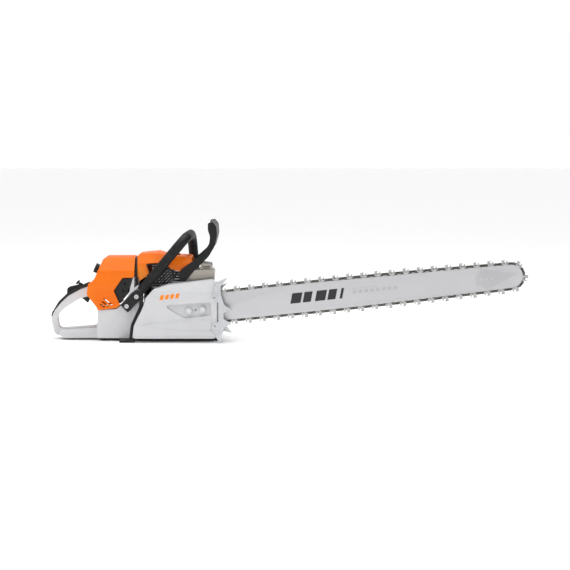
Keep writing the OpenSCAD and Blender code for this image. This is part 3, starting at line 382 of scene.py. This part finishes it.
def sweep(name, path, radius_at, sides):
    """A closed tube along path. radius_at(share, gone) gives its radius where that share
    of its length, and that length, is behind."""
    bm = bmesh.new()
    # Starts as any direction that is not along the path, and is carried from ring to ring
    side = Vector((1, 0, 0.01))
    rings = []
    total = sum((b - a).length for a, b in zip(path, path[1:]))
    gone = 0.0
    for i, p in enumerate(path):
        if i:
            gone += (p - path[i - 1]).length
        along = (path[min(i + 1, len(path) - 1)] - path[max(i - 1, 0)]).normalized()
        side = (side - along * side.dot(along)).normalized()
        up = along.cross(side)
        r = radius_at(gone / total, gone)
        rings.append([bm.verts.new(p + r * (across * side + rise * up))
                      for across, rise in circle(sides)])
    for lower, upper in zip(rings, rings[1:]):
        join_loops(bm, lower, upper)
    bm.faces.new(rings[0])
    bm.faces.new(rings[-1])
    return finished(name, bm)


# ------------------------------------------------------------------ front handle
# Lengths in millimetres, on the handle's centre line from its right foot to its left one
HANDLE_CORNERS = [(-74, -74, 149), (56, -71, 303), (64, 122, 303), (86, 122, 26)]
HANDLE_BEND = 40
HANDLE_BEND_STEPS = 20
HANDLE_STEP = 2.0
HANDLE_SIDES = 40
SLEEVE_R = 14.4
SLEEVE_WALL = 0.9
RING_PITCH = 3.2
RING_DEPTH = 0.105
# Ends of the rubber sleeve and of its plain part, as shares of the handle's length
SLEEVE_SHARES = (0.10, 0.78)
PLAIN_SHARES = (0.16, 0.72)


def handle_radius(share, gone):
    """A tube with a thicker sleeve, which has shallow rings near each of its ends."""
    if not SLEEVE_SHARES[0] < share < SLEEVE_SHARES[1]:
        return (SLEEVE_R - SLEEVE_WALL) * MM
    in_plain_part = PLAIN_SHARES[0] <= share <= PLAIN_SHARES[1]
    in_ring = math.cos(gone / MM / RING_PITCH * 2 * math.pi) > 0.2
    if in_ring and not in_plain_part:
        return (SLEEVE_R - RING_DEPTH) * MM
    return SLEEVE_R * MM


def add_handle():
    corners = [Vector(p) for p in HANDLE_CORNERS]
    route = [corners[0]]
    for before, corner, after in zip(corners, corners[1:], corners[2:]):
        route += corner_arc(before, corner, after, HANDLE_BEND, HANDLE_BEND_STEPS)
    route.append(corners[-1])
    path = [p * MM for p in resample(route, HANDLE_STEP)]
    tube = sweep("front_handle_tube", path, handle_radius, HANDLE_SIDES)
    place(tube, "powerhead", "black_rubber", ["front_handle"])


add_handle()


# ------------------------------------------------------------------ plain printed marks
# Sideways shift of a mark's upper end, as a share of its height
MARK_LEAN = 0.30


def on_bar(u, v, w):
    """A place on the bar's right face: u along it, v across it, w out of it."""
    return Vector((u * math.cos(BAR_PITCH) - v * math.sin(BAR_PITCH),
                   BAR_FACE_Y - w,
                   CRANK_Z + u * math.sin(BAR_PITCH) + v * math.cos(BAR_PITCH)))


def on_cover(u, v, w):
    """A place on the sprocket cover's face: u forward, v up, w out of it."""
    return Vector((u, COVER_FACE_Y - w, v))


def mark_row(u, v, pitch, height, widths, climb=0):
    """Leaning blocks in a row, their lower left corners pitch apart, each higher by climb."""
    lean = MARK_LEAN * height
    blocks = []
    for k, width in enumerate(widths):
        left, low = u + pitch * k, v + climb * k
        blocks.append([(left, low), (left + width, low),
                       (left + width + lean, low + height), (left + lean, low + height)])
    return blocks


def add_marks(name, slot, to_saw, depth, blocks):
    """Thin raised blocks, depth millimetres proud, where a maker would print a name."""
    bm = bmesh.new()
    for block in blocks:
        add_prism(bm, [to_saw(u, v, 0) * MM for u, v in block],
                  [to_saw(u, v, depth) * MM for u, v in block])
    place(finished(name, bm, 20), "powerhead", slot)


add_marks("bar_mark_bold", "black_plastic", on_bar, 0.06,
          mark_row(u=362, v=-13, pitch=36, height=30, widths=(30, 24, 30, 24))
          + mark_row(u=506, v=-13, pitch=0, height=30, widths=(8,)))
add_marks("bar_mark_fine", "case_metal", on_bar, 0.06,
          mark_row(u=545, v=-2, pitch=17, height=9, widths=[11] * 8)
          + mark_row(u=548, v=11, pitch=9, height=3, widths=[5] * 8))
add_marks("cover_mark", "cover_orange", on_cover, 0.1,
          mark_row(u=-18, v=126, pitch=15, height=14, widths=[10] * 4, climb=1.6))


# ------------------------------------------------------------------ moulded outlines
# Outlines seen from the saw's side: corners (x, z, radius) in millimetres
GUARD_ARM = [
    (38, 178, 7), (54, 174, 7), (80, 206, 20), (102, 226, 30), (124, 249, 30), (140, 277, 30),
    (148, 308, 30), (146, 336, 16), (135, 349, 6), (121, 346, 6), (121, 326, 12), (127, 306, 14),
    (125, 287, 16), (112, 264, 18), (90, 244, 22), (42, 210, 12), (34, 190, 7),
]
GUARD_PANEL = [
    (133, 269, 2), (139.5, 279, 3), (147, 308, 28), (145, 335, 15), (134.5, 348, 5),
    (121.5, 345, 5), (136, 326, 12), (139, 300, 14),
]
GUARD_RIB = [
    (127, 286, 2), (136, 275, 2), (146, 308, 18), (144, 334, 12), (134, 347, 4), (123, 345, 4),
    (130, 312, 16),
]
COVER_STEP = [(-66, 54, 1), (132, 69, 3), (132, 39, 3), (34, 38, 12), (-57, 47, 1)]
LEDGE = [(-109, 136, 1), (-82, 157.5, 1), (-82, 163, 2), (-85, 164, 2), (-112, 142, 2)]
SHIELD_LIP = [(-98, 188, 1), (-91, 188, 1), (-91, 206, 1), (-98, 206, 1)]

# Places across the saw, in millimetres
GUARD_Y = (-58, 105)
GUARD_ARM_WIDTH = 7
GUARD_PANEL_INSET = 1
GUARD_RIB_Y = (-24, 7, 40, 71)
GUARD_RIB_HALF = 1.6
COVER_STEP_Y = (COVER_FACE_Y - 1.3, COVER_FACE_Y + 0.5)
LEDGE_Y = (-62, -58)
SHIELD_LIPS_Y = ((-56, -53), (53, 56))
# Points in each rounded corner, less one
GUARD_ARC_STEPS = 8
ARC_STEPS = 6
# Edges sharper than this are rounded
MOULD_DEG = 40


def rounded(corners, steps=ARC_STEPS):
    """A closed outline whose corners are arcs."""
    points = [Vector((x, 0, z)) for x, z, radius in corners]
    out = []
    for i, corner in enumerate(points):
        after = points[(i + 1) % len(points)]
        out += corner_arc(points[i - 1], corner, after, corners[i][2], steps)
    return out


def add_slab(bm, outline, y0, y1):
    """A side outline given thickness between two places across the saw."""
    add_prism(bm, [Vector((p.x, y0, p.z)) * MM for p in outline],
              [Vector((p.x, y1, p.z)) * MM for p in outline])


def add_moulding(name, slot, slabs, edge, segments=3, body="powerhead", replaced=()):
    """A piece made of slabs (outline, y0, y1), its edges rounded by edge millimetres."""
    bm = bmesh.new()
    for outline, y0, y1 in slabs:
        add_slab(bm, outline, y0, y1)
    obj = finished(name, bm)
    round_edges(obj, edge, segments, MOULD_DEG)
    place(obj, body, slot, replaced)


def add_guard():
    """Two arms, the curved panel between them and the ribs behind it."""
    low, high = GUARD_Y
    arm = rounded(GUARD_ARM, GUARD_ARC_STEPS)
    panel = rounded(GUARD_PANEL, GUARD_ARC_STEPS)
    rib = rounded(GUARD_RIB)
    slabs = [(arm, low, low + GUARD_ARM_WIDTH), (arm, high - GUARD_ARM_WIDTH, high),
             (panel, low + GUARD_PANEL_INSET, high - GUARD_PANEL_INSET)]
    slabs += [(rib, y - GUARD_RIB_HALF, y + GUARD_RIB_HALF) for y in GUARD_RIB_Y]
    add_moulding("hand_guard_shell", "black_plastic", slabs, 1.4, body="guard",
                 replaced=["hand_guard"])


def add_cover_details():
    """The step along the cover's lower half, the ledge by the handle's foot and the lips
    that close the gap between the heat shield and the filter cover."""
    add_moulding("cover_step", "housing_grey", [(rounded(COVER_STEP), *COVER_STEP_Y)], 0.8)
    add_moulding("housing_ledge", "housing_grey", [(rounded(LEDGE), *LEDGE_Y)], 0.8)
    lips = [(rounded(SHIELD_LIP), *across) for across in SHIELD_LIPS_Y]
    add_moulding("heat_shield_lips", "black_plastic", lips, 0.5, segments=2)


add_guard()
add_cover_details()


# ------------------------------------------------------------------ starter details
# Heights above the fan housing's face, and radii, in millimetres
STEP_ROOT = -0.4
OUTER_STEP = {"top": 1.2, "outer": 37, "inner": 34.5}
BOSS = {"top": 1.8, "outer": 22, "inner": 1}
BOSS_PRINT = 1.75


def add_round_step(bm, top, outer, inner, sides=72):
    """A ring about the crank's axis, which stands on the starter's face."""
    loops = []
    for radius, height in ((outer, STEP_ROOT), (outer, top), (inner, top), (inner, STEP_ROOT)):
        loops.append([bm.verts.new(Vector((radius * across, FAN_FACE_Y + height,
                                           CRANK_Z + radius * rise)) * MM)
                      for across, rise in circle(sides)])
    for a, b in zip(loops, loops[1:] + loops[:1]):
        join_loops(bm, a, b)


def on_starter(u, v, w):
    """A place on the starter's centre boss: u backward, v up, w out of it."""
    return Vector((-u, FAN_FACE_Y + BOSS_PRINT + w, CRANK_Z + v))


def add_starter_details():
    """A raised ring inside the starter's louvres and a shallow centre boss with a mark."""
    bm = bmesh.new()
    add_round_step(bm, **OUTER_STEP)
    add_round_step(bm, **BOSS)
    rings = finished("starter_rings", bm)
    round_edges(rings, 0.5, segments=2, degrees=MOULD_DEG)
    place(rings, "powerhead", "housing_grey")
    add_marks("starter_mark", "cover_orange", on_starter, 0.15,
              mark_row(u=-20, v=-5, pitch=11, height=10, widths=[7] * 4))


add_starter_details()


# ------------------------------------------------------------------ floor, light and camera
# Sizes and places in metres, lamp powers in watts, the sun's strength in watts per square metre
FLOOR_SIZE = 24
FLOOR_CENTRE = (0.3, 4, 0)
# The world has the first strength up to the first height of a direction (0 level, 1 straight
# up) and the second strength from the second height
SKY_HEIGHTS = (0.09, 0.32)
SKY_STRENGTHS = (1.0, 0.40)
# Rows of name, place, target, width and height, power
LAMPS = [
    ("key", (-0.9, -1.9, 2.4), (0.2, 0, 0.1), (1.6, 0.6), 20),
    ("top", (0.5, 0.3, 2.4), (0.3, 0, 0.1), (3.2, 1.2), 16),
    ("rim", (-2.2, 1.4, 1.0), (0, 0, 0.15), (0.8, 1.2), 8),
]
SUN_STRENGTH = 1.9
SUN_ANGLE = math.radians(50)
CAMERA_LENS = 100
CAMERA_SENSOR = 36
CAMERA_RISE = math.radians(6)
CAMERA_AIM = Vector((0.346, -0.080, 0.167))
VIEW_WIDTH = 1.659


def add_floor():
    bpy.ops.mesh.primitive_plane_add(size=FLOOR_SIZE, location=FLOOR_CENTRE)
    floor = bpy.context.object
    floor.name = "floor"
    finish = Finish("floor", (0.93, 0.93, 0.93), 0.9)
    finish.stain((0.92, 0.92, 0.92), scale=3, detail=2, low=0.3, high=0.7, amount=0.2)
    finish.set_specular(0.1)
    floor.data.materials.append(finish.mat)


def add_world():
    """White surroundings, bright towards the horizon and dimmer overhead."""
    world = bpy.data.worlds.new("studio")
    bpy.context.scene.world = world
    world.use_nodes = True
    nodes, links = world.node_tree.nodes, world.node_tree.links
    direction = nodes.new("ShaderNodeTexCoord").outputs["Generated"]
    height = nodes.new("ShaderNodeSeparateXYZ")
    links.new(direction, height.inputs["Vector"])
    dim = nodes.new("ShaderNodeMapRange")
    dim.inputs["From Min"].default_value, dim.inputs["From Max"].default_value = SKY_HEIGHTS
    dim.inputs["To Min"].default_value, dim.inputs["To Max"].default_value = SKY_STRENGTHS
    links.new(height.outputs["Z"], dim.inputs["Value"])
    links.new(dim.outputs["Result"], nodes["Background"].inputs["Strength"])
    nodes["Background"].inputs["Color"].default_value = (1, 1, 1, 1)


def look_along(obj, direction):
    """Points a lamp or the camera along a direction."""
    obj.rotation_mode = "QUATERNION"
    obj.rotation_quaternion = direction.to_track_quat("-Z", "Y")


def add_lamp(name, location, target, size, power):
    data = bpy.data.lights.new(name, "AREA")
    data.shape = "RECTANGLE"
    data.size, data.size_y = size
    data.energy = power
    lamp = new_object(name, data)
    lamp.location = location
    look_along(lamp, Vector(target) - Vector(location))


def add_sun():
    """Wide soft light from straight above, which keeps the floor white."""
    data = bpy.data.lights.new("overhead", "SUN")
    data.energy = SUN_STRENGTH
    data.angle = SUN_ANGLE
    new_object("overhead", data)


def add_camera():
    """Long lens from the saw's right side, a few degrees above level."""
    data = bpy.data.cameras.new("camera")
    data.lens = CAMERA_LENS
    data.sensor_width = CAMERA_SENSOR
    distance = VIEW_WIDTH * CAMERA_LENS / CAMERA_SENSOR
    back = Vector((0, -math.cos(CAMERA_RISE), math.sin(CAMERA_RISE)))
    camera = new_object("camera", data)
    camera.location = CAMERA_AIM + back * distance
    look_along(camera, -back)
    bpy.context.scene.camera = camera


add_floor()
add_world()
for lamp_row in LAMPS:
    add_lamp(*lamp_row)
add_sun()
add_camera()
bpy.context.scene.view_settings.view_transform = "Standard"
